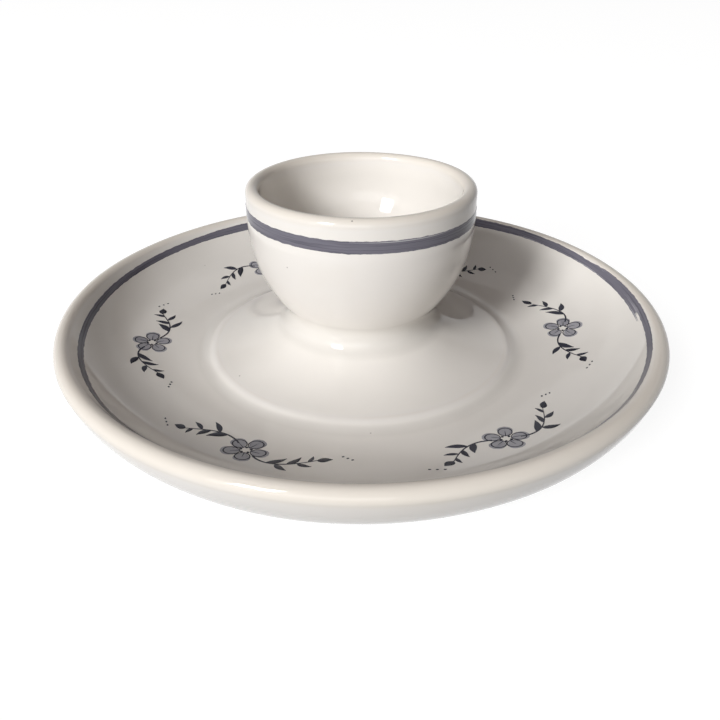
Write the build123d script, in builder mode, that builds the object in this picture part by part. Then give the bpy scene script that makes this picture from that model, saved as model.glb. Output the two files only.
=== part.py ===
"""Glazed earthenware egg cup fixed to its own saucer.

Millimetres, +Z up. The origin is on the axis at the table, under the foot ring.
Every piece is turned about the Z axis, so each one is a section in radius and height.
"""

import os
from math import acos, atan2, cos, degrees, hypot, radians, sin, sqrt

from build123d import *

# Saucer
saucer_radius = 70.0
rim_height = 19.0
rim_bead = 2.0
floor_height = 7.7
cove_radius = 20.0
cove_lift = 1.45
underside_height = 2.6

# Foot ring under the saucer
foot_width = 4.0
foot_fillet = 1.0
foot_flat = 2.0
recess_flat = 3.0
foot_edge = 0.5
glaze_line = 1.0

# Raised boss in the middle of the saucer, hollow underneath
boss_step = 1.2
boss_slope = 8.0
step_corner = 7.0
step_edge = 4.0
flare_end_radius = 35.0
flare_radius = 42.0
boss_wall = 5.0
boss_cap = 4.0
hollow_corner = 3.0

# Egg bowl
overall_height = 47.7
cup_radius = 25.5
cup_bead = 1.55
collar_height = 6.5
bowl_radius = 30.0
neck_crease = 4.3
bowl_base = 6.2
inside_wall_radius = 18.0
inside_floor_radius = 30.0

# Layers
slip_thickness = 0.4
glaze_thickness = 0.4
paint_thickness = 0.15

# Painted stripes, measured down from the lip they follow
cup_band_drop = 4.2
cup_band_width = 2.6
rim_band_drop = 1.3
rim_band_width = 1.8

# Directions of a surface's outward side, in degrees from the outward radius towards +Z
OUTWARD = 0.0
UP = 90.0
INWARD = 180.0
DOWN = -90.0
TO_AXIS = -180.0
STRAIGHT = 0.0


def polar(centre, distance, angle):
    """Point at a distance and an angle from a centre."""
    return (centre[0] + distance * cos(radians(angle)), centre[1] + distance * sin(radians(angle)))


def bearing(start, end):
    """Angle of the line from one point to another."""
    return degrees(atan2(end[1] - start[1], end[0] - start[0]))


def lower_crossing(centre_a, radius_a, centre_b, radius_b):
    """The lower of the two points where two circles cross."""
    span = hypot(centre_b[0] - centre_a[0], centre_b[1] - centre_a[1])
    along = (span**2 + radius_a**2 - radius_b**2) / (2 * span)
    aside = sqrt(radius_a**2 - along**2)
    middle = polar(centre_a, along, bearing(centre_a, centre_b))
    crossings = [polar(middle, aside, bearing(centre_a, centre_b) + turn) for turn in (UP, DOWN)]
    return min(crossings, key=lambda point: point[1])


def trace(surface, inset):
    """Draw a surface moved under itself by an inset.

    A surface is a chain of stations (point, facing, bend). The bend is the radius of the run to the
    next station: positive where the surface bulges, negative where it is hollow, zero where straight.
    """
    for (point, facing, bend), (next_point, next_facing, _) in zip(surface, surface[1:]):
        if bend == STRAIGHT:
            Line(polar(point, -inset, facing), polar(next_point, -inset, next_facing))
        else:
            start = facing if bend > 0 else facing + INWARD
            CenterArc(polar(point, -bend, facing), abs(bend - inset), start, next_facing - facing)


def end_points(surface, inset):
    """First and last point of a surface moved under itself by an inset."""
    return [polar(surface[end][0], -inset, surface[end][1]) for end in (0, -1)]


def skin(surface, thickness):
    """Section of a layer of one thickness that lies just under a surface."""
    with BuildSketch() as section:
        with BuildLine():
            trace(surface, 0)
            trace(surface, thickness)
            for top, bottom in zip(end_points(surface, 0), end_points(surface, thickness)):
                Line(top, bottom)
        make_face()
    return section.sketch


def stripe(surface, top, width, inner_radius, outer_radius):
    """Section of a painted stripe: the skin of a surface between two heights and two radii."""
    with BuildSketch() as section:
        add(skin(surface, paint_thickness))
        with Locations(((inner_radius + outer_radius) / 2, top - width / 2)):
            Rectangle(outer_radius - inner_radius, width, mode=Mode.INTERSECT)
    return section.sketch


# Boss: a soft step up from the saucer's floor, then the flare up to the neck
flare_end = (flare_end_radius, floor_height + boss_step)
flare_centre = polar(flare_end, flare_radius, UP - boss_slope)
edge_centre = polar(flare_end, -step_edge, UP - boss_slope)
edge_rise = step_edge * cos(radians(boss_slope))
step_slope = degrees(acos((edge_rise + step_corner - boss_step) / (step_edge + step_corner)))
step_middle = polar(edge_centre, step_edge, UP - step_slope)
floor_start = step_middle[0] + step_corner * sin(radians(step_slope))

# Foot ring round the hollow of the boss, and the belly that runs from it out to the lip
foot_inner_radius = flare_centre[0] + recess_flat + foot_fillet
foot_outer_radius = foot_inner_radius + foot_width
lip_centre = (saucer_radius - rim_bead, rim_height - rim_bead)
belly_start = foot_outer_radius + foot_fillet + foot_flat
belly_run = lip_centre[0] - belly_start
belly_rise = lip_centre[1] - underside_height
belly_radius = (belly_run**2 + belly_rise**2 - rim_bead**2) / (2 * (belly_rise - rim_bead))
belly_centre = (belly_start, underside_height + belly_radius)
belly_facing = bearing(belly_centre, lip_centre)

# Inside of the saucer: a dished floor that rises a little and turns up into a cove under the lip
cove_height = floor_height + cove_lift + cove_radius
cove_run = sqrt((cove_radius + rim_bead) ** 2 - (cove_height - lip_centre[1]) ** 2)
cove_centre = (lip_centre[0] - cove_run, cove_height)
floor_run = cove_centre[0] - floor_start
floor_radius = cove_radius + cove_lift / 2 + floor_run**2 / (2 * cove_lift)
floor_centre = (floor_start, floor_height + floor_radius)
cove_facing = bearing(lip_centre, cove_centre)
floor_facing = bearing(cove_centre, floor_centre)

# Neck: one crease joins the flare of the boss to the belly of the bowl
collar_foot = (cup_radius, overall_height - cup_bead - collar_height)
bowl_centre = (cup_radius - bowl_radius, collar_foot[1])
neck_centre = lower_crossing(flare_centre, flare_radius - neck_crease, bowl_centre, bowl_radius + neck_crease)
neck = (neck_centre[0] - neck_crease, neck_centre[1])
flare_facing = bearing(neck_centre, flare_centre)
bowl_facing = bearing(bowl_centre, neck_centre)
seam_height = neck[1]

# Inside of the bowl: an upright wall that turns into a gently dished floor
inside_radius = cup_radius - 2 * cup_bead
inside_floor_centre = (0, seam_height + bowl_base + inside_floor_radius)
wall_offset = inside_radius - inside_wall_radius
wall_rise = sqrt((inside_floor_radius - inside_wall_radius) ** 2 - wall_offset**2)
inside_wall_centre = (wall_offset, inside_floor_centre[1] - wall_rise)
inside_facing = bearing(inside_wall_centre, inside_floor_centre)

# Hollow under the boss, one wall thickness below the flare
hollow_radius = flare_radius + boss_wall
hollow_top = seam_height - boss_cap
recess_height = flare_centre[1] - hollow_radius
corner_drop = flare_centre[1] - (hollow_top - hollow_corner)
corner_offset = sqrt((hollow_radius + hollow_corner) ** 2 - corner_drop**2)
corner_centre = (flare_centre[0] - corner_offset, hollow_top - hollow_corner)
hollow_facing = bearing(flare_centre, corner_centre)

# Glazed surface of the saucer, from the foot ring round the lip and in to the neck
saucer_surface = [
    ((foot_outer_radius, glaze_line), OUTWARD, STRAIGHT),
    ((foot_outer_radius, underside_height - foot_fillet), OUTWARD, -foot_fillet),
    ((foot_outer_radius + foot_fillet, underside_height), DOWN, STRAIGHT),
    ((belly_centre[0], underside_height), DOWN, belly_radius),
    (polar(lip_centre, rim_bead, belly_facing), belly_facing, rim_bead),
    (polar(lip_centre, rim_bead, UP), UP, rim_bead),
    (polar(lip_centre, rim_bead, cove_facing), cove_facing, -cove_radius),
    (polar(cove_centre, -cove_radius, floor_facing), floor_facing, -floor_radius),
    ((floor_start, floor_height), UP, -step_corner),
    (step_middle, UP - step_slope, step_edge),
    (flare_end, UP - boss_slope, -flare_radius),
    (polar(neck_centre, -neck_crease, flare_facing), flare_facing, -neck_crease),
    (neck, OUTWARD, STRAIGHT),
]

# Glazed surface under the saucer, from the middle of the hollow out to the foot ring
underside_surface = [
    ((0, hollow_top), DOWN, STRAIGHT),
    ((corner_centre[0], hollow_top), DOWN, -hollow_corner),
    (polar(flare_centre, hollow_radius, hollow_facing), hollow_facing, hollow_radius),
    ((flare_centre[0], recess_height), DOWN, STRAIGHT),
    ((foot_inner_radius - foot_fillet, recess_height), DOWN, -foot_fillet),
    ((foot_inner_radius, recess_height - foot_fillet), TO_AXIS, STRAIGHT),
    ((foot_inner_radius, glaze_line), TO_AXIS, STRAIGHT),
]

# Glazed surface of the bowl, from the neck over the lip to the middle of its floor
bowl_surface = [
    (neck, OUTWARD, -neck_crease),
    (polar(bowl_centre, bowl_radius, bowl_facing), bowl_facing, bowl_radius),
    (collar_foot, OUTWARD, STRAIGHT),
    ((cup_radius, overall_height - cup_bead), OUTWARD, cup_bead),
    ((cup_radius - cup_bead, overall_height), UP, cup_bead),
    ((inside_radius, overall_height - cup_bead), INWARD, STRAIGHT),
    ((inside_radius, inside_wall_centre[1]), INWARD, -inside_wall_radius),
    (polar(inside_floor_centre, -inside_floor_radius, inside_facing), inside_facing, -inside_floor_radius),
    ((0, seam_height + bowl_base), UP, STRAIGHT),
]


def saucer_clay():
    """Section of the saucer's clay, with its boss filled right up to the seam with the bowl."""
    foot_start, neck_end = end_points(saucer_surface, glaze_thickness)
    hollow_start, foot_end = end_points(underside_surface, glaze_thickness)
    with BuildSketch() as section:
        with BuildLine():
            trace(saucer_surface, glaze_thickness)
            Polyline(neck_end, (0, seam_height), hollow_start)
            trace(underside_surface, glaze_thickness)
            Line(foot_end, (foot_end[0], foot_edge))
            CenterArc((foot_end[0] + foot_edge, foot_edge), foot_edge, INWARD, UP)
            Line((foot_end[0] + foot_edge, 0), (foot_start[0] - foot_edge, 0))
            CenterArc((foot_start[0] - foot_edge, foot_edge), foot_edge, DOWN, UP)
            Line((foot_start[0], foot_edge), foot_start)
        make_face()
    return section.sketch


def seam_zone(mode):
    """The slice of the neck that the joining slip takes up, just under the bowl."""
    with Locations((neck[0] / 2, seam_height - slip_thickness / 2)):
        Rectangle(neck[0], slip_thickness, mode=mode)


# Saucer with its foot ring and hollow boss
with BuildPart() as saucer:
    with BuildSketch(Plane.XZ):
        add(saucer_clay())
        seam_zone(Mode.SUBTRACT)
    revolve(axis=Axis.Z)

# Slip that joins the bowl to the boss
with BuildPart() as luting_slip:
    with BuildSketch(Plane.XZ):
        add(saucer_clay())
        seam_zone(Mode.INTERSECT)
    revolve(axis=Axis.Z)

# Egg bowl
with BuildPart() as cup_bowl:
    neck_start, floor_end = end_points(bowl_surface, glaze_thickness)
    with BuildSketch(Plane.XZ):
        with BuildLine():
            trace(bowl_surface, glaze_thickness)
            Polyline(floor_end, (0, seam_height), neck_start)
        make_face()
    revolve(axis=Axis.Z)

# Stripe painted round the outside of the bowl
cup_stripe = stripe(
    bowl_surface, overall_height - cup_band_drop, cup_band_width, cup_radius - cup_bead, cup_radius
)
with BuildPart() as cup_band:
    with BuildSketch(Plane.XZ):
        add(cup_stripe)
    revolve(axis=Axis.Z)

# Stripe painted round the inside of the saucer, just under its lip
rim_stripe = stripe(
    saucer_surface, rim_height - rim_band_drop, rim_band_width, cove_centre[0], lip_centre[0]
)
with BuildPart() as rim_band:
    with BuildSketch(Plane.XZ):
        add(rim_stripe)
    revolve(axis=Axis.Z)

# Glaze on the bowl, with the stripe sunk in it
with BuildPart() as bowl_glaze:
    with BuildSketch(Plane.XZ):
        add(skin(bowl_surface, glaze_thickness))
        add(cup_stripe, mode=Mode.SUBTRACT)
    revolve(axis=Axis.Z)

# Glaze on the saucer and its boss, with the stripe sunk in it
with BuildPart() as saucer_glaze:
    with BuildSketch(Plane.XZ):
        add(skin(saucer_surface, glaze_thickness))
        add(rim_stripe, mode=Mode.SUBTRACT)
    revolve(axis=Axis.Z)

# Glaze inside the foot ring and in the hollow of the boss
with BuildPart() as underside_glaze:
    with BuildSketch(Plane.XZ):
        add(skin(underside_surface, glaze_thickness))
    revolve(axis=Axis.Z)

pieces = {
    "saucer": saucer,
    "luting_slip": luting_slip,
    "cup_bowl": cup_bowl,
    "bowl_glaze": bowl_glaze,
    "saucer_glaze": saucer_glaze,
    "underside_glaze": underside_glaze,
    "cup_band": cup_band,
    "rim_band": rim_band,
}
os.makedirs("parts", exist_ok=True)
for name, piece in pieces.items():
    piece.part.label = name
    export_step(piece.part, f"parts/{name}.step")
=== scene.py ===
import math
import random
from bisect import bisect_right

import bmesh
import bpy
from mathutils import Euler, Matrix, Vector, noise


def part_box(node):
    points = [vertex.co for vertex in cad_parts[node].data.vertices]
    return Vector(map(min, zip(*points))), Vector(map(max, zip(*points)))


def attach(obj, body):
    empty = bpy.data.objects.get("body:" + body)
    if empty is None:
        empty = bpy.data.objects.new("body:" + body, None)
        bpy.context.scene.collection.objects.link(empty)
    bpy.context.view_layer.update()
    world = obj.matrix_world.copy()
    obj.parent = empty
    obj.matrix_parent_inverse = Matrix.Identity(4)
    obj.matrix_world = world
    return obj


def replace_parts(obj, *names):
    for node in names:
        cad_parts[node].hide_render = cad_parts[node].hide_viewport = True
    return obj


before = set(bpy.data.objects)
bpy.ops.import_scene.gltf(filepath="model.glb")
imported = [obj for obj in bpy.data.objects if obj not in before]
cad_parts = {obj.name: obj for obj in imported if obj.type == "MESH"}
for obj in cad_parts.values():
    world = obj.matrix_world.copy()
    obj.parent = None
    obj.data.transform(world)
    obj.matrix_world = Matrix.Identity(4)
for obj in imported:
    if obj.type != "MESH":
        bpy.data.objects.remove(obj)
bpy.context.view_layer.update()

# Sizes in millimetres: the outline from the frame, the rest as in the solids
MM = 0.001
saucer_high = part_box("saucer_glaze")[1]
bowl_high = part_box("bowl_glaze")[1]
saucer_radius = saucer_high[0] / MM
rim_height = saucer_high[2] / MM
cup_radius = bowl_high[0] / MM
overall_height = bowl_high[2] / MM
rim_bead = 2.0
floor_height = 7.7
cove_radius = 20.0
cove_lift = 1.45
underside_height = 2.6
foot_width = 4.0
foot_fillet = 1.0
foot_flat = 2.0
recess_flat = 3.0
glaze_line = 1.0
boss_step = 1.2
boss_slope = 8.0
step_corner = 7.0
step_edge = 4.0
flare_end_radius = 35.0
flare_radius = 42.0
boss_wall = 5.0
boss_cap = 4.0
hollow_corner = 3.0
cup_bead = 1.55
collar_height = 6.5
bowl_radius = 30.0
neck_crease = 4.3
bowl_base = 6.2
inside_wall_radius = 18.0
inside_floor_radius = 30.0
glaze_thickness = 0.4

# Unevenness left by hand work, in millimetres
swell_size = 26.0
swell_depth = 0.11
ripple_size = 7.0
ripple_depth = 0.016

# Fineness of the meshes, in counts, millimetres and degrees
turn_steps = 240
longest_step = 0.9
widest_bend = 4.0
hidden_longest_step = 3.0
hidden_widest_bend = 15.0
sharp_angle = 50.0

# Painted layers, in millimetres above and below the glaze
wash_lift = 0.045
line_lift = 0.085
lap_lift = 0.03
paint_sink = 0.08
narrowest = 0.06

# Directions of a surface's outward side, in degrees from the outward radius towards +Z
OUTWARD = 0.0
UP = 90.0
INWARD = 180.0
DOWN = -90.0
TO_AXIS = -180.0
STRAIGHT = 0.0


def polar(centre, distance, angle):
    """Point at a distance and an angle, in degrees, from a centre."""
    heading = math.radians(angle)
    return (centre[0] + distance * math.cos(heading), centre[1] + distance * math.sin(heading))


def bearing(start, end):
    """Angle of the line from one point to another."""
    return math.degrees(math.atan2(end[1] - start[1], end[0] - start[0]))


def lower_crossing(centre_a, radius_a, centre_b, radius_b):
    """The lower of the two points where two circles cross."""
    span = math.dist(centre_a, centre_b)
    along = (span**2 + radius_a**2 - radius_b**2) / (2 * span)
    aside = math.sqrt(radius_a**2 - along**2)
    middle = polar(centre_a, along, bearing(centre_a, centre_b))
    crossings = [polar(middle, aside, bearing(centre_a, centre_b) + quarter) for quarter in (UP, DOWN)]
    return min(crossings, key=lambda point: point[1])


def swell(point):
    """How far the glaze stands out or in at a point of its even surface."""
    broad = noise.noise(point / swell_size)
    fine = noise.noise(point / ripple_size)
    return swell_depth * broad + ripple_depth * fine


class Surface:
    """A turned surface, found by the distance along its section.

    The section is a chain of stations (point, facing, bend). The bend is the radius of the run to the
    next station: positive where the surface bulges, negative where it is hollow, zero where straight.
    """

    # Reach over which glaze thins or pools, with painted shade in the hollows, the samples taken in it, and
    # the bend that has the full effect
    spread = 1.1
    samples = 9
    full_effect = 5.0

    # First step of a search along the section, as a share of it, and the step at which it stops
    first_step = 0.25
    last_step = 0.001

    def __init__(self, stations):
        self.runs = list(zip(stations, stations[1:]))
        self.starts = [0.0]
        for run in self.runs:
            self.starts.append(self.starts[-1] + self.run_length(run))
        self.length = self.starts[-1]

    @staticmethod
    def run_length(run):
        (point, facing, bend), (next_point, next_facing, _) = run
        if bend == STRAIGHT:
            return math.dist(point, next_point)
        return abs(bend) * math.radians(abs(next_facing - facing))

    def find(self, distance):
        """The run at a distance, and the share of that run passed."""
        index = min(max(bisect_right(self.starts, distance) - 1, 0), len(self.runs) - 1)
        length = self.starts[index + 1] - self.starts[index]
        return self.runs[index], (distance - self.starts[index]) / length

    def section(self, distance):
        """Point of the section and its facing at a distance."""
        ((point, facing, bend), (next_point, next_facing, _)), share = self.find(distance)
        facing_here = facing + (next_facing - facing) * share
        if bend == STRAIGHT:
            return [a + (b - a) * share for a, b in zip(point, next_point)], facing_here
        return polar(polar(point, -bend, facing), bend, facing_here), facing_here

    def place(self, distance, turn, lift=0.0):
        """Place on the finished surface in metres, at a turn about the axis in radians."""
        (radius, height), facing = self.section(distance)
        radial = math.cos(math.radians(facing))
        normal = Vector((radial * math.cos(turn), radial * math.sin(turn), math.sin(math.radians(facing))))
        even = Vector((radius * math.cos(turn), radius * math.sin(turn), height))
        return (even + normal * (swell(even) + lift)) * MM

    def rounding(self, distance):
        """How sharply the surface bulges (up to 1) or is hollow (down to -1) near a distance."""
        total = 0.0
        for index in range(self.samples):
            offset = self.spread * (2 * index / (self.samples - 1) - 1)
            bend = self.find(min(max(distance + offset, 0), self.length))[0][0][2]
            total += 0 if bend == STRAIGHT else max(-1, min(1, self.full_effect / bend))
        return total / self.samples

    def rings(self, longest, widest):
        """Distances of the mesh's rings, closer together where the section bends."""
        distances = []
        for run, start in zip(self.runs, self.starts):
            length = self.run_length(run)
            bent = abs(run[1][1] - run[0][1])
            count = max(math.ceil(length / longest), math.ceil(bent / widest))
            distances += [start + length * index / count for index in range(count)]
        return distances + [self.length]

    def inwards_to(self, radius, start):
        """Distance at which the section, followed inwards from a start, comes to a radius."""
        step = self.length * self.first_step
        distance = start
        while step > self.last_step:
            if self.section(min(distance + step, self.length))[0][0] > radius:
                distance += step
            step /= 2
        return distance


# Boss: a soft step up from the saucer's floor, then the flare up to the neck
flare_end = (flare_end_radius, floor_height + boss_step)
flare_centre = polar(flare_end, flare_radius, UP - boss_slope)
edge_centre = polar(flare_end, -step_edge, UP - boss_slope)
edge_rise = step_edge * math.cos(math.radians(boss_slope))
step_slope = math.degrees(math.acos((edge_rise + step_corner - boss_step) / (step_edge + step_corner)))
step_middle = polar(edge_centre, step_edge, UP - step_slope)
floor_start = step_middle[0] + step_corner * math.sin(math.radians(step_slope))

# Foot ring round the hollow of the boss, and the belly that runs from it out to the lip
foot_inner_radius = flare_centre[0] + recess_flat + foot_fillet
foot_outer_radius = foot_inner_radius + foot_width
lip_centre = (saucer_radius - rim_bead, rim_height - rim_bead)
belly_start = foot_outer_radius + foot_fillet + foot_flat
belly_run = lip_centre[0] - belly_start
belly_rise = lip_centre[1] - underside_height
belly_radius = (belly_run**2 + belly_rise**2 - rim_bead**2) / (2 * (belly_rise - rim_bead))
belly_centre = (belly_start, underside_height + belly_radius)
belly_facing = bearing(belly_centre, lip_centre)

# Inside of the saucer: a dished floor that rises a little and turns up into a cove under the lip
cove_height = floor_height + cove_lift + cove_radius
cove_run = math.sqrt((cove_radius + rim_bead) ** 2 - (cove_height - lip_centre[1]) ** 2)
cove_centre = (lip_centre[0] - cove_run, cove_height)
floor_run = cove_centre[0] - floor_start
floor_radius = cove_radius + cove_lift / 2 + floor_run**2 / (2 * cove_lift)
floor_centre = (floor_start, floor_height + floor_radius)
cove_facing = bearing(lip_centre, cove_centre)
floor_facing = bearing(cove_centre, floor_centre)

# Neck: one crease joins the flare of the boss to the belly of the bowl
collar_foot = (cup_radius, overall_height - cup_bead - collar_height)
bowl_centre = (cup_radius - bowl_radius, collar_foot[1])
neck_centre = lower_crossing(flare_centre, flare_radius - neck_crease, bowl_centre, bowl_radius + neck_crease)
neck = (neck_centre[0] - neck_crease, neck_centre[1])
flare_facing = bearing(neck_centre, flare_centre)
bowl_facing = bearing(bowl_centre, neck_centre)
seam_height = neck[1]

# Inside of the bowl: an upright wall that turns into a gently dished floor
inside_radius = cup_radius - 2 * cup_bead
inside_floor_centre = (0, seam_height + bowl_base + inside_floor_radius)
wall_offset = inside_radius - inside_wall_radius
wall_rise = math.sqrt((inside_floor_radius - inside_wall_radius) ** 2 - wall_offset**2)
inside_wall_centre = (wall_offset, inside_floor_centre[1] - wall_rise)
inside_facing = bearing(inside_wall_centre, inside_floor_centre)

# Hollow under the boss, one wall thickness below the flare
hollow_radius = flare_radius + boss_wall
hollow_top = seam_height - boss_cap
recess_height = flare_centre[1] - hollow_radius
corner_drop = flare_centre[1] - (hollow_top - hollow_corner)
corner_offset = math.sqrt((hollow_radius + hollow_corner) ** 2 - corner_drop**2)
corner_centre = (flare_centre[0] - corner_offset, hollow_top - hollow_corner)
hollow_facing = bearing(flare_centre, corner_centre)

# Glazed surface of the saucer, from the foot ring round the lip and in to the neck
saucer_surface = Surface([
    ((foot_outer_radius, glaze_line), OUTWARD, STRAIGHT),
    ((foot_outer_radius, underside_height - foot_fillet), OUTWARD, -foot_fillet),
    ((foot_outer_radius + foot_fillet, underside_height), DOWN, STRAIGHT),
    ((belly_centre[0], underside_height), DOWN, belly_radius),
    (polar(lip_centre, rim_bead, belly_facing), belly_facing, rim_bead),
    (polar(lip_centre, rim_bead, cove_facing), cove_facing, -cove_radius),
    (polar(cove_centre, -cove_radius, floor_facing), floor_facing, -floor_radius),
    ((floor_start, floor_height), UP, -step_corner),
    (step_middle, UP - step_slope, step_edge),
    (flare_end, UP - boss_slope, -flare_radius),
    (polar(neck_centre, -neck_crease, flare_facing), flare_facing, -neck_crease),
    (neck, OUTWARD, STRAIGHT),
])
lip_station = 4
lip_start = saucer_surface.starts[lip_station]

# Glazed surface under the saucer, from the middle of the hollow out to the foot ring
underside_surface = Surface([
    ((0, hollow_top), DOWN, STRAIGHT),
    ((corner_centre[0], hollow_top), DOWN, -hollow_corner),
    (polar(flare_centre, hollow_radius, hollow_facing), hollow_facing, hollow_radius),
    ((flare_centre[0], recess_height), DOWN, STRAIGHT),
    ((foot_inner_radius - foot_fillet, recess_height), DOWN, -foot_fillet),
    ((foot_inner_radius, recess_height - foot_fillet), TO_AXIS, STRAIGHT),
    ((foot_inner_radius, glaze_line), TO_AXIS, STRAIGHT),
])

# Glazed surface of the bowl, from the neck over the lip to the middle of its floor
bowl_surface = Surface([
    (neck, OUTWARD, -neck_crease),
    (polar(bowl_centre, bowl_radius, bowl_facing), bowl_facing, bowl_radius),
    (collar_foot, OUTWARD, STRAIGHT),
    ((cup_radius, overall_height - cup_bead), OUTWARD, cup_bead),
    ((inside_radius, overall_height - cup_bead), INWARD, STRAIGHT),
    ((inside_radius, inside_wall_centre[1]), INWARD, -inside_wall_radius),
    (polar(inside_floor_centre, -inside_floor_radius, inside_facing), inside_facing, -inside_floor_radius),
    ((0, seam_height + bowl_base), UP, STRAIGHT),
])
collar_station = 2
collar_start = bowl_surface.starts[collar_station]


def tint(red, green, blue):
    """Colour for a shader from the values 0 to 255 of a picture, by the usual curve of a display."""
    full = 255
    knee, slope = 0.04045, 12.92
    offset, power = 0.055, 2.4

    def straight(value):
        share = value / full
        return share / slope if share <= knee else ((share + offset) / (1 + offset)) ** power

    return (straight(red), straight(green), straight(blue), 1.0)


class Recipe:
    """Node graph of one procedural material."""

    # Range that most of a noise lies in
    noise_range = (0.3, 0.7)

    def __init__(self, name, roughness, ior, gloss=0.5):
        self.material = bpy.data.materials.new(name)
        self.material.use_nodes = True
        self.tree = self.material.node_tree
        self.shader = self.tree.nodes["Principled BSDF"]
        self.shader.inputs["Roughness"].default_value = roughness
        self.shader.inputs["IOR"].default_value = ior
        self.shader.inputs["Specular IOR Level"].default_value = gloss

    def node(self, kind, **settings):
        made = self.tree.nodes.new(kind)
        for key, value in settings.items():
            setattr(made, key, value)
        return made

    def feed(self, socket, source):
        """Give an input a plain value or another node's output."""
        if isinstance(source, bpy.types.NodeSocket):
            self.tree.links.new(source, socket)
        else:
            socket.default_value = source

    def where(self):
        return self.node("ShaderNodeTexCoord").outputs["Object"]

    def attribute(self, name):
        return self.node("ShaderNodeAttribute", attribute_name=name).outputs["Fac"]

    def maths(self, operation, first, second=0.0):
        made = self.node("ShaderNodeMath", operation=operation)
        self.feed(made.inputs[0], first)
        self.feed(made.inputs[1], second)
        return made.outputs[0]

    def noise(self, scale, detail=2.0, vector=None):
        made = self.node("ShaderNodeTexNoise")
        made.inputs["Scale"].default_value = scale
        made.inputs["Detail"].default_value = detail
        self.feed(made.inputs["Vector"], vector or self.where())
        return made.outputs["Fac"]

    def remap(self, value, low, high, new_low, new_high):
        made = self.node("ShaderNodeMapRange")
        limits = {"From Min": low, "From Max": high, "To Min": new_low, "To Max": new_high}
        for name, number in limits.items():
            made.inputs[name].default_value = number
        self.feed(made.inputs["Value"], value)
        return made.outputs["Result"]

    def vary(self, noise_value, new_low, new_high):
        """Spread a noise over a range of values."""
        return self.remap(noise_value, *self.noise_range, new_low, new_high)

    def ramp(self, factor, *stops):
        made = self.node("ShaderNodeValToRGB")
        elements = made.color_ramp.elements
        while len(elements) < len(stops):
            elements.new(1.0)
        for element, (position, colour) in zip(elements, stops):
            element.position = position
            element.color = colour
        self.feed(made.inputs["Fac"], factor)
        return made.outputs["Color"]

    def blend(self, factor, first, second):
        made = self.node("ShaderNodeMix", data_type="RGBA")
        self.feed(made.inputs["Factor"], factor)
        self.feed(made.inputs["A"], first)
        self.feed(made.inputs["B"], second)
        return made.outputs["Result"]

    def bump(self, height, strength, depth):
        made = self.node("ShaderNodeBump")
        made.inputs["Strength"].default_value = strength
        made.inputs["Distance"].default_value = depth
        self.feed(made.inputs["Height"], height)
        self.feed(self.shader.inputs["Normal"], made.outputs["Normal"])

    def colour(self, source):
        self.feed(self.shader.inputs["Base Color"], source)

    def roughness(self, source):
        self.feed(self.shader.inputs["Roughness"], source)

    def glow(self, strength):
        """White light of its own that the camera, reflections and see-through parts show."""
        path = self.node("ShaderNodeLightPath")
        shown = self.maths("MAXIMUM", path.outputs["Is Camera Ray"], path.outputs["Is Glossy Ray"])
        shown = self.maths("MAXIMUM", shown, path.outputs["Is Transmission Ray"])
        self.shader.inputs["Emission Color"].default_value = (1, 1, 1, 1)
        self.feed(self.shader.inputs["Emission Strength"], self.maths("MULTIPLY", shown, strength))


def glaze_material():
    """White tin glaze: creamy where it thins on edges, darker where it pools in hollows and creases, which is
    painted shade, with a few specks.
    """
    cloud_scale, cloud_detail, cloud_effect = 55, 3, 0.16
    # Hollows and creases are painted darker than the plain glaze: painted shade where the glaze pools
    pooled_and_shaded = (0.08, tint(227, 223, 217))
    plain = (0.46, tint(240, 236, 230))
    still_plain = (0.62, tint(240, 236, 231))
    thinned = (0.95, tint(235, 228, 218))
    speck_scale, speck_edge = 210, (0.02, 0.05)
    speck_strength, speck_rarity = 0.7, 0.74
    sheen_scale, sheen_range = 120, (0.03, 0.07)
    peel_scale, peel_strength, peel_depth = 240, 0.04, 0.0002
    recipe = Recipe("tin_glaze", roughness=0.05, ior=1.5, gloss=0.36)
    cloud = recipe.vary(recipe.noise(cloud_scale, cloud_detail), -cloud_effect, cloud_effect)
    depth = recipe.maths("ADD", recipe.attribute("rounding"), cloud)
    body = recipe.ramp(recipe.remap(depth, -1, 1, 0, 1), pooled_and_shaded, plain, still_plain, thinned)
    cells = recipe.node("ShaderNodeTexVoronoi")
    cells.inputs["Scale"].default_value = speck_scale
    recipe.feed(cells.inputs["Vector"], recipe.where())
    dots = recipe.remap(cells.outputs["Distance"], *speck_edge, speck_strength, 0)
    chosen = recipe.maths("GREATER_THAN", cells.outputs["Color"], speck_rarity)
    recipe.colour(recipe.blend(recipe.maths("MULTIPLY", dots, chosen), body, tint(96, 84, 78)))
    recipe.roughness(recipe.vary(recipe.noise(sheen_scale), *sheen_range))
    recipe.bump(recipe.noise(peel_scale), peel_strength, peel_depth)
    return recipe.material


def brushed_material(name, dark, middle, pale, streaks):
    """Slate-coloured paint under the glaze, with the streaks of the brush running along the stroke."""
    streak_scale, streak_detail = 55.0, 4
    loads = (0.3, 0.52, 0.72, 1.0)
    sheen_range = (0.08, 0.16)
    ridge_strength, ridge_depth = 0.08, 0.0002
    recipe = Recipe(name, roughness=0.1, ior=1.5, gloss=0.16)
    parts = recipe.node("ShaderNodeSeparateXYZ")
    recipe.feed(parts.inputs["Vector"], recipe.where())
    grain = recipe.node("ShaderNodeCombineXYZ")
    for axis in "XY":
        recipe.feed(grain.inputs[axis], recipe.maths("MULTIPLY", parts.outputs[axis], streak_scale))
    recipe.feed(grain.inputs["Z"], recipe.maths("MULTIPLY", recipe.attribute("across"), streaks))
    hairs = recipe.noise(scale=1.0, detail=streak_detail, vector=grain.outputs["Vector"])
    load = recipe.maths("ADD", hairs, recipe.attribute("thinness"))
    recipe.colour(recipe.ramp(load, *zip(loads, (dark, middle, middle, pale))))
    recipe.roughness(recipe.vary(hairs, *sheen_range))
    recipe.bump(hairs, ridge_strength, ridge_depth)
    return recipe.material


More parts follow.
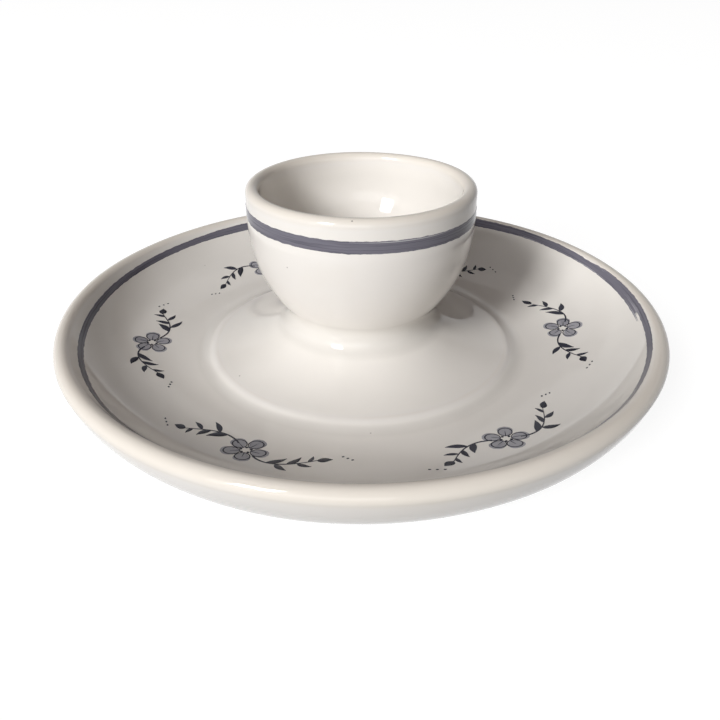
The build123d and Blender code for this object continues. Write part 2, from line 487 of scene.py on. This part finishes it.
def clay_material():
    """Buff earthenware, bare on the foot ring."""
    cloud_scale, cloud_detail = 70, 3
    cloud_colours = (tint(206, 181, 154), tint(222, 202, 178))
    grog_scale, grog_detail = 900, 5
    grog_shown, grog_strength = (0.55, 0.7), 0.5
    sheen_range = (0.75, 0.95)
    grain_strength, grain_depth = 0.4, 0.0003
    recipe = Recipe("buff_clay", roughness=0.85, ior=1.45)
    grog = recipe.noise(grog_scale, grog_detail)
    cloud = recipe.noise(cloud_scale, cloud_detail)
    body = recipe.ramp(cloud, *zip(recipe.noise_range, cloud_colours))
    grains = recipe.remap(grog, *grog_shown, 0, grog_strength)
    recipe.colour(recipe.blend(grains, body, tint(160, 128, 102)))
    recipe.roughness(recipe.vary(grog, *sheen_range))
    recipe.bump(grog, grain_strength, grain_depth)
    return recipe.material


def new_piece(name, points, faces, materials, attributes):
    """Mesh piece of the object, in metres, that moves with its one body."""
    mesh = bpy.data.meshes.new(name)
    mesh.from_pydata(points, [], faces)
    shape = bmesh.new()
    shape.from_mesh(mesh)
    bmesh.ops.recalc_face_normals(shape, faces=shape.faces)
    shape.to_mesh(mesh)
    shape.free()
    for key, values in attributes.items():
        layer = mesh.attributes.new(key, "FLOAT", "POINT")
        layer.data.foreach_set("value", values)
    for material in materials:
        mesh.materials.append(material)
    mesh.shade_smooth()
    mesh.set_sharp_from_angle(angle=math.radians(sharp_angle))
    piece = bpy.data.objects.new(name, mesh)
    bpy.context.collection.objects.link(piece)
    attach(piece, "root")
    return piece


def turned_shell(name, surface, thickness, material):
    """Closed shell of one thickness under a surface, turned about the axis."""
    rows = [(distance, 0.0) for distance in surface.rings(longest_step, widest_bend)]
    hidden = surface.rings(hidden_longest_step, hidden_widest_bend)
    rows += [(distance, -thickness) for distance in reversed(hidden)]
    points = []
    roundings = []
    rings = []
    for distance, lift in rows:
        at_axis = surface.section(distance)[0][0] < thickness / 2
        count = 1 if at_axis else turn_steps
        rings.append([len(points) + index for index in range(count)])
        for index in range(count):
            points.append(surface.place(distance, 2 * math.pi * index / turn_steps, lift))
        roundings += [surface.rounding(distance)] * count
    faces = []
    for ring, following in zip(rings, rings[1:] + rings[:1]):
        for index in range(max(len(ring), len(following))):
            corners = [ring[index % len(ring)], ring[(index + 1) % len(ring)]]
            corners += [following[(index + 1) % len(following)], following[index % len(following)]]
            corners = list(dict.fromkeys(corners))
            if len(corners) > 2:
                faces.append(corners)
    return new_piece(name, points, faces, [material], {"rounding": roundings})


class Brush:
    """Collects painted strokes on a surface into one mesh."""

    # Points across a stroke, corners sunk under it, and the crown of its thickness
    rib = 6
    sunk_corners = 2
    edge_share = 0.6
    crown_power = 4

    def __init__(self, surface):
        self.surface = surface
        self.points = []
        self.faces = []
        self.across = []
        self.thinness = []
        self.paints = []

    def stroke(self, stations, paint):
        """One closed stroke. A station is its two edges, each (distance, turn), its lift and its thinness."""
        start = len(self.points)
        around = self.rib + 1 + self.sunk_corners
        for near, far, lift, thinness in stations:
            for index in range(self.rib + 1):
                share = index / self.rib
                crown = 1 - (2 * share - 1) ** self.crown_power
                height = lift * (self.edge_share + (1 - self.edge_share) * crown)
                distance, turn = (a + (b - a) * share for a, b in zip(near, far))
                self.points.append(self.surface.place(distance, turn, height))
                self.across.append(share)
            self.points.append(self.surface.place(*far, -paint_sink))
            self.points.append(self.surface.place(*near, -paint_sink))
            self.across += [1.0, 0.0]
            self.thinness += [thinness] * around
        for row in range(len(stations) - 1):
            low = start + row * around
            for index in range(around):
                after = (index + 1) % around
                self.faces.append([low + index, low + after, low + around + after, low + around + index])
                self.paints.append(paint)
        last = start + (len(stations) - 1) * around
        self.faces.append([start + index for index in range(around)])
        self.faces.append([last + index for index in range(around)])
        self.paints += [paint, paint]

    def finish(self, name, materials):
        attributes = {"across": self.across, "thinness": self.thinness}
        piece = new_piece(name, self.points, self.faces, materials, attributes)
        piece.data.polygons.foreach_set("material_index", self.paints)
        return piece


# Paints of a stripe, by their order among its materials
BAND, STREAK = 0, 1


class Ring:
    """Stripe laid by a brush held to the turning pot, whose ragged end laps over its start."""

    # Steps along the stripe and along its thin lines
    steps = 720
    fine_steps = 16

    # Lengths over which it opens and wears thin, in millimetres
    touch_down = 9.0
    worn_length, worn_depth = 16.0, 0.3

    # Waves in its edges: their length and depth, and the lane and layer of the noise that they follow
    sways = (16.0, 0.14, 1, 0)
    jags = (1.6, 0.15, 9, 3)
    hairs = (0.6, 0.05, 5, 7)

    # Bristle marks past its end
    tail_count = 6
    tail_lengths = (0.8, 4.5)
    tail_overlap = 1.5

    # Dry streaks, placed as shares of its breadth from its middle
    streak_count = 9
    streak_lengths = (6.0, 26.0)
    streak_widths = (0.1, 0.22)
    streak_places = (0.2, 0.44)

    def __init__(self, surface, start, sweep, middle, width, seed):
        self.surface = surface
        self.start = start
        self.sweep = sweep
        self.middle = middle
        self.width = width
        self.chance = random.Random(seed)
        self.length = abs(sweep) * surface.section(middle(start, 0))[0][0]
        self.brush = Brush(surface)

    def spot(self, way, aside):
        """Place on the surface at a way along the stripe and a distance from its middle line."""
        share = way / self.length
        turn = self.start + self.sweep * share
        return (self.middle(turn, share) + aside, turn)

    def breadth(self, way):
        """Breadth of the stripe, which opens as the brush touches down."""
        opened = math.sqrt(min(1, way / self.touch_down))
        return self.width(self.start + self.sweep * way / self.length) * opened

    @staticmethod
    def waver(way, side, length, depth, lane, layer):
        """How far one set of waves moves an edge."""
        return depth * noise.noise(Vector((way / length, lane * side, layer)))

    def edge(self, way, side):
        """Distance of a wavering edge from the middle line."""
        sway = self.waver(way, side, *self.sways)
        jag = self.waver(way, side, *self.jags)
        hair = self.waver(way, side, *self.hairs)
        return sway + side * max(self.breadth(way) / 2 + jag + hair, narrowest)

    def lay_band(self):
        """The stripe itself, worn at both ends and rising a little so that its end laps over its start."""
        stations = []
        for index in range(self.steps + 1):
            way = self.length * index / self.steps
            from_end = min(way, self.length - way)
            worn = self.worn_depth * max(0, 1 - from_end / self.worn_length)
            lift = wash_lift + lap_lift * way / self.length
            near, far = (self.spot(way, self.edge(way, side)) for side in (-1, 1))
            stations.append((near, far, lift, worn))
        self.brush.stroke(stations, BAND)

    def lay_line(self, way, length, aside, width, swelling, lift, paint):
        """A thin line along the stripe."""
        stations = []
        for index in range(self.fine_steps + 1):
            share = index / self.fine_steps
            half = max(width * swelling(share), narrowest) / 2
            near, far = (self.spot(way + length * share, aside + side * half) for side in (-1, 1))
            stations.append((near, far, lift, self.worn_depth))
        self.brush.stroke(stations, paint)

    def lay_tails(self):
        """Bristle marks that run on past the end of the stripe."""
        width = self.breadth(self.length)
        for index in range(self.tail_count):
            aside = width * ((index + 0.5) / self.tail_count - 0.5)
            length = self.tail_overlap + self.chance.uniform(*self.tail_lengths)
            way = self.length - self.tail_overlap
            self.lay_line(way, length, aside, width / self.tail_count, lifted, wash_lift + lap_lift, BAND)

    def lay_streaks(self):
        """Pale lines where single bristles ran dry."""
        for _ in range(self.streak_count):
            length = self.chance.uniform(*self.streak_lengths)
            way = self.chance.uniform(self.touch_down, self.length - length)
            aside = self.breadth(way) * self.chance.choice((-1, 1)) * self.chance.uniform(*self.streak_places)
            width = self.chance.uniform(*self.streak_widths)
            self.lay_line(way, length, aside, width, lens, line_lift, STREAK)

    def finish(self, name, materials):
        self.lay_band()
        self.lay_tails()
        self.lay_streaks()
        return self.brush.finish(name, materials)


class Chart:
    """Drawing ground on a surface, in millimetres along the rim and outwards from its middle."""

    def __init__(self, surface, distance, turn):
        self.surface = surface
        self.distance = distance
        self.turn = turn

    def spot(self, point):
        distance = self.distance - point.y
        radius = self.surface.section(distance)[0][0]
        return (distance, self.turn + point.x / radius)


def bezier(points, share):
    """Point part-way along the curve that a few control points pull."""
    while len(points) > 1:
        points = [a.lerp(b, share) for a, b in zip(points, points[1:])]
    return points[0]


def turned(point, angle):
    """Point turned about the origin by an angle in degrees."""
    cosine, sine = math.cos(math.radians(angle)), math.sin(math.radians(angle))
    return Vector((point.x * cosine - point.y * sine, point.x * sine + point.y * cosine))


# Shapes of the strokes: where leaves and petals are broadest, and how far stems and outlines thin
leaf_skew = 0.8
petal_skew = 1.5
stem_thinning = 0.65
outline_thinning = 0.45


def lifted(share):
    """Swelling of a bristle mark that thins out to a point."""
    return math.sqrt(1 - share)


def lens(share):
    """Swelling of a leaf stroke: a point, a belly and a point."""
    return math.sin(math.pi * share**leaf_skew)


def taper(share):
    """Swelling of a stem stroke, pressed hard at first and lifted off at the end."""
    return 1 - stem_thinning * share


def round_end(share):
    """Swelling of a petal or a drop: narrow at its root and round at its tip."""
    return math.sqrt(math.sin(math.pi * share**petal_skew))


def even(share):
    """Swelling of an outline, with both ends lifted off."""
    return 1 - outline_thinning + outline_thinning * math.sin(math.pi * share)


# Paints of a sprig, by their order among its materials
WASH, INK = 0, 1

# Sprigs along the rim
sprig_count = 6
sprig_radius = 51.0
sprig_start = math.radians(4)

# Blossom: lengths as shares of its radius, widths in millimetres, angles in degrees, thinness of the paint
blossom_radius = 4.9
heart_share = 0.22
petal_count = 5
petal_step = 360 / petal_count
petal_sway = 4
petal_reaches = (0.94, 1.05)
petal_breadth = 0.86
petal_thinness = (-0.1, 0.15)
petal_outline = ((0, 0), (0.15, 0.75), (1.25, 0.85), (1.25, -0.85), (0.15, -0.75), (0, 0))
outline_width = 0.3
outline_thinness = (-0.05, 0.1)
outline_steps = 28
vein_share = 0.5
vein_width = 0.24
vein_thinness = 0.1
vein_steps = 5
seed_span = (0.7, 1.3)
seed_width = 0.6
seed_thinness = -0.1
dot_steps = 6

# Arms: lengths and widths in millimetres, places as shares of an arm, angles in degrees
RIGHT, LEFT = 0.0, 180.0
arm_reaches = (13.5, 15.0)
arm_curve = ((0.18, 0.1), (0.5, 0.32), (0.8, 0.05), (1.0, -0.12))
stem_width = 0.42
stem_thinness = 0.0
stem_steps = 24
slope_step = 0.02
leaf_count = 5
leaf_start = 0.26
leaf_gap = 0.15
leaf_lean = 48
leaf_sway = 8
leaf_length = 4.4
leaf_shrink = 0.45
leaf_spread = (0.9, 1.1)
leaf_breadth = 0.34
leaf_bow = 0.16
leaf_thinness = (-0.1, 0.12)
bud_lean = 20
bud_length = 2.8
bud_width = 1.7
bud_thinness = -0.1
dot_count = 3
dot_start = 4.3
dot_gap = 0.9
dot_stretch = Vector((0.55, 0.1))
dot_width = 0.45
dot_thinness = 0.05

# Share of a curve looked ahead and behind to find its direction
nudge = 0.01


def pull(brush, chart, points, width, swelling, paint, thinness, steps=14):
    """Draw one stroke along a curve on a chart."""
    lift = wash_lift if paint == WASH else line_lift
    stations = []
    for index in range(steps + 1):
        share = index / steps
        ahead = bezier(points, min(share + nudge, 1)) - bezier(points, max(share - nudge, 0))
        side = Vector((-ahead.y, ahead.x)).normalized() * max(width * swelling(share), narrowest) / 2
        middle = bezier(points, share)
        stations.append((chart.spot(middle - side), chart.spot(middle + side), lift, thinness))
    brush.stroke(stations, paint)


def paint_leaf(brush, chart, root, angle, length, thinness):
    """One leaf laid down with a single press of the brush."""
    bow = leaf_bow * length
    points = [root + turned(Vector(spot), angle) for spot in ((0, 0), (length / 2, bow), (length, 0))]
    pull(brush, chart, points, leaf_breadth * length, lens, INK, thinness)


def paint_blossom(brush, chart, chance):
    """Washed petals with an outline and a vein each, round a ring of dots."""
    heart = heart_share * blossom_radius
    length = blossom_radius - heart
    start = chance.uniform(0, petal_step)
    for index in range(petal_count):
        angle = start + petal_step * index + chance.uniform(-petal_sway, petal_sway)
        reach = length * chance.uniform(*petal_reaches)
        breadth = petal_breadth * reach
        axis = [turned(Vector((heart + reach * share, 0)), angle) for share in (0, 0.5, 1)]
        pull(brush, chart, axis, breadth, round_end, WASH, chance.uniform(*petal_thinness))
        loop = [turned(Vector((heart + reach * a, breadth * b)), angle) for a, b in petal_outline]
        pull(brush, chart, loop, outline_width, even, INK, chance.uniform(*outline_thinness), outline_steps)
        vein = [turned(Vector((heart + share * reach, 0)), angle) for share in (0, vein_share)]
        pull(brush, chart, vein, vein_width, taper, INK, vein_thinness, vein_steps)
        seed = turned(Vector((heart, 0)), angle + petal_step / 2)
        dot = [seed * share for share in seed_span]
        pull(brush, chart, dot, seed_width, lens, INK, seed_thinness, dot_steps)


def paint_arm(brush, chart, side, chance):
    """A leafy stem that leaves the blossom sideways and ends in a bud and a few dots."""
    reach = chance.uniform(*arm_reaches)
    stem = [Vector((side * reach * a, side * reach * b)) for a, b in arm_curve]
    pull(brush, chart, stem, stem_width, taper, INK, stem_thinness, stem_steps)
    for index in range(leaf_count):
        share = leaf_start + leaf_gap * index
        root = bezier(stem, share)
        lean = leaf_lean if index % 2 else -leaf_lean
        length = (leaf_length - leaf_shrink * index) * chance.uniform(*leaf_spread)
        slope = bezier(stem, share + slope_step) - root
        angle = math.degrees(math.atan2(slope.y, slope.x)) + lean + chance.uniform(-leaf_sway, leaf_sway)
        paint_leaf(brush, chart, root, angle, length, chance.uniform(*leaf_thinness))
    tip = stem[-1]
    heading = (RIGHT if side > 0 else LEFT) - bud_lean
    bud = [tip, tip + turned(Vector((bud_length, 0)), heading)]
    pull(brush, chart, bud, bud_width, lens, INK, bud_thinness)
    for index in range(dot_count):
        aside = dot_gap * (index - (dot_count - 1) / 2)
        dot = tip + turned(Vector((dot_start + dot_gap * index, aside)), heading)
        pull(brush, chart, [dot, dot + dot_stretch], dot_width, lens, INK, dot_thinness, dot_steps)


def paint_sprig(name, turn, seed, materials):
    """A blossom between two leafy arms."""
    chance = random.Random(seed)
    middle = saucer_surface.inwards_to(sprig_radius, lip_start)
    brush = Brush(saucer_surface)
    chart = Chart(saucer_surface, middle, turn)
    for side in (1, -1):
        paint_arm(brush, chart, side, chance)
    paint_blossom(brush, chart, chance)
    return brush.finish(name, materials)


def stage_piece(name, points, faces, material):
    """Mesh that belongs to the studio, not to the object."""
    mesh = bpy.data.meshes.new(name)
    mesh.from_pydata(points, [], faces)
    mesh.materials.append(material)
    piece = bpy.data.objects.new(name, mesh)
    bpy.context.collection.objects.link(piece)


def hang_lamp(name, swing, height, distance, size, watts, across=0.0, above=0.0):
    """Hang an oblong lamp that looks at the object from a swing to the left and a height, in degrees."""
    direction = Vector((0, 0, 1))
    direction.rotate(Euler((math.radians(UP - height), 0, math.radians(-swing))))
    lamp = bpy.data.lights.new(name, "AREA")
    lamp.shape = "RECTANGLE"
    lamp.size, lamp.size_y = size
    lamp.energy = watts
    shade = bpy.data.objects.new(name, lamp)
    shade.rotation_mode = "QUATERNION"
    shade.rotation_quaternion = direction.to_track_quat("Z", "Y")
    shade.location = direction * distance + shade.rotation_quaternion @ Vector((across, above, 0))
    bpy.context.collection.objects.link(shade)


# Materials, each paint from loaded to dry and with the fineness of its streaks
glaze = glaze_material()
clay = clay_material()
slate = brushed_material("slate_band", tint(82, 81, 92), tint(117, 115, 126), tint(188, 186, 191), 9.0)
wash = brushed_material("pale_wash", tint(140, 140, 147), tint(166, 165, 171), tint(200, 198, 199), 3.0)
streak = brushed_material("dry_streak", tint(136, 135, 143), tint(158, 157, 163), tint(196, 194, 195), 2.0)
ink = brushed_material("dark_ink", tint(40, 41, 50), tint(58, 59, 70), tint(112, 113, 124), 2.0)

# Glaze coats over the clay
coats = {
    "bowl_glaze": ("bowl_coat", bowl_surface),
    "saucer_glaze": ("saucer_coat", saucer_surface),
    "underside_glaze": ("underside_coat", underside_surface),
}
for node, (name, surface) in coats.items():
    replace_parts(turned_shell(name, surface, glaze_thickness, glaze), node)
for node in ("saucer", "cup_bowl", "luting_slip"):
    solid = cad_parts[node]
    solid.data.materials.clear()
    solid.data.materials.append(clay)

# Stripe round the outside of the bowl, a little lower on its right
cup_band_drop = 4.2
cup_band_tilt = 0.33
cup_band_width = 2.6
cup_band_start = math.radians(14)
cup_band_sweep = math.radians(-378)


def cup_band_middle(turn, share):
    """Distance of the stripe's middle line along the section of the bowl."""
    drop = cup_band_drop + cup_band_tilt * math.cos(turn) + cup_band_width / 2
    return collar_start + overall_height - drop - collar_foot[1]


def cup_band_breadth(turn):
    """Breadth of the stripe, the same all round."""
    return cup_band_width


cup_ring = Ring(bowl_surface, cup_band_start, cup_band_sweep, cup_band_middle, cup_band_breadth, seed=1)
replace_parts(cup_ring.finish("cup_ring", [slate, streak]), "cup_band")

# Stripe inside the saucer's lip, laid a little off the middle, whose end runs in under its start
rim_band_radius = 65.4
rim_band_shift = 0.85
rim_band_shift_turn = math.radians(30)
rim_band_drift = 0.6
rim_band_drift_share = 0.12
rim_band_width = 1.6
rim_band_press = 1.1
rim_band_press_turn = math.radians(85)
rim_band_press_power = 3
rim_band_start = math.radians(22)
rim_band_sweep = math.radians(-385)


def rim_band_middle(turn, share):
    """Distance of the stripe's middle line along the section of the saucer."""
    drift = rim_band_drift * max(0, (share - 1) / rim_band_drift_share + 1)
    shift = rim_band_shift * math.cos(turn - rim_band_shift_turn)
    return saucer_surface.inwards_to(rim_band_radius + shift - drift, lip_start)


def rim_band_breadth(turn):
    """Breadth of the stripe, pressed broader at the back."""
    pressed = max(0, math.cos(turn - rim_band_press_turn)) ** rim_band_press_power
    return rim_band_width + rim_band_press * pressed


rim_ring = Ring(saucer_surface, rim_band_start, rim_band_sweep, rim_band_middle, rim_band_breadth, seed=2)
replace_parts(rim_ring.finish("rim_ring", [slate, streak]), "rim_band")

# Sprigs on the saucer
for index in range(sprig_count):
    turn = sprig_start + 2 * math.pi * index / sprig_count
    paint_sprig(f"sprig_{index + 1}", turn, index, [wash, ink])

# Floor, white to the camera and still shaded by the object
stage_reach = 8.0
floor_grey = 124
floor_glow = 0.91
floor_recipe = Recipe("white_floor", roughness=1.0, ior=1.0)
floor_recipe.colour(tint(floor_grey, floor_grey, floor_grey))
floor_recipe.glow(floor_glow)
corners = [(stage_reach * x, stage_reach * y, 0) for x, y in ((-1, -1), (1, -1), (1, 1), (-1, 1))]
stage_piece("floor", corners, [(0, 1, 2, 3)], floor_recipe.material)

# Backdrop all round, white at its foot and greyer higher up
backdrop_height = 4.2
backdrop_sides = 96
backdrop_fade = 2.6
backdrop_glow = (0.94, 0.5)
backdrop_recipe = Recipe("pale_backdrop", roughness=1.0, ior=1.0)
backdrop_recipe.colour(tint(0, 0, 0))
backdrop_parts = backdrop_recipe.node("ShaderNodeSeparateXYZ")
backdrop_recipe.feed(backdrop_parts.inputs["Vector"], backdrop_recipe.where())
backdrop_recipe.glow(backdrop_recipe.remap(backdrop_parts.outputs["Z"], 0, backdrop_fade, *backdrop_glow))
posts = []
panels = []
for index in range(backdrop_sides):
    turn = 2 * math.pi * index / backdrop_sides
    posts += [(stage_reach * math.cos(turn), stage_reach * math.sin(turn), z) for z in (0, backdrop_height)]
    following = (index + 1) % backdrop_sides
    panels.append((2 * index, 2 * following, 2 * following + 1, 2 * index + 1))
stage_piece("backdrop", posts, panels, backdrop_recipe.material)

# Window light: a block of panes in front and to the left
window_swing = 35.5
window_height = 29.7
window_distance = 4.0
window_watts = 136.0
pane_columns = 2
pane_rows = 3
pane_size = (0.44, 0.4)
pane_gap = 0.06
pane_watts = window_watts / (pane_columns * pane_rows)
for column in range(pane_columns):
    for row in range(pane_rows):
        across = (column - (pane_columns - 1) / 2) * (pane_size[0] + pane_gap)
        above = (row - (pane_rows - 1) / 2) * (pane_size[1] + pane_gap)
        pane = f"pane_{column}_{row}"
        hang_lamp(pane, window_swing, window_height, window_distance, pane_size, pane_watts, across, above)

# Pale room behind the camera
room_swing = 20
room_height = 14
room_distance = 4.5
room_size = (5.0, 2.2)
room_watts = 67.0
hang_lamp("room_lamp", room_swing, room_height, room_distance, room_size, room_watts)

# Pale ceiling above and behind the object
ceiling_swing = 150
ceiling_height = 55
ceiling_distance = 4.5
ceiling_size = (5.0, 3.0)
ceiling_watts = 17.0
hang_lamp("ceiling_lamp", ceiling_swing, ceiling_height, ceiling_distance, ceiling_size, ceiling_watts)

# Weak light from all round
world_colour = (1.0, 0.8, 0.74, 1)
world_strength = 0.075
world = bpy.data.worlds.new("room")
world.use_nodes = True
world.node_tree.nodes["Background"].inputs["Color"].default_value = world_colour
world.node_tree.nodes["Background"].inputs["Strength"].default_value = world_strength
bpy.context.scene.world = world

# Camera at the photograph's place
picture_pixels = 720
focal_pixels = 714.9
film_width = 36.0
nearest_seen = 0.005
camera_place = Vector((-0.45, -155.2, 94.7)) * MM
camera_target = Vector((-0.25, 0.0, 1.73)) * MM
optics = bpy.data.cameras.new("camera")
optics.sensor_width = film_width
optics.lens = film_width * focal_pixels / picture_pixels
optics.clip_start = nearest_seen
camera = bpy.data.objects.new("camera", optics)
camera.location = camera_place
camera.rotation_mode = "QUATERNION"
camera.rotation_quaternion = (camera_target - camera_place).to_track_quat("-Z", "Y")
bpy.context.collection.objects.link(camera)
bpy.context.scene.camera = camera
bpy.context.scene.view_settings.view_transform = "Standard"
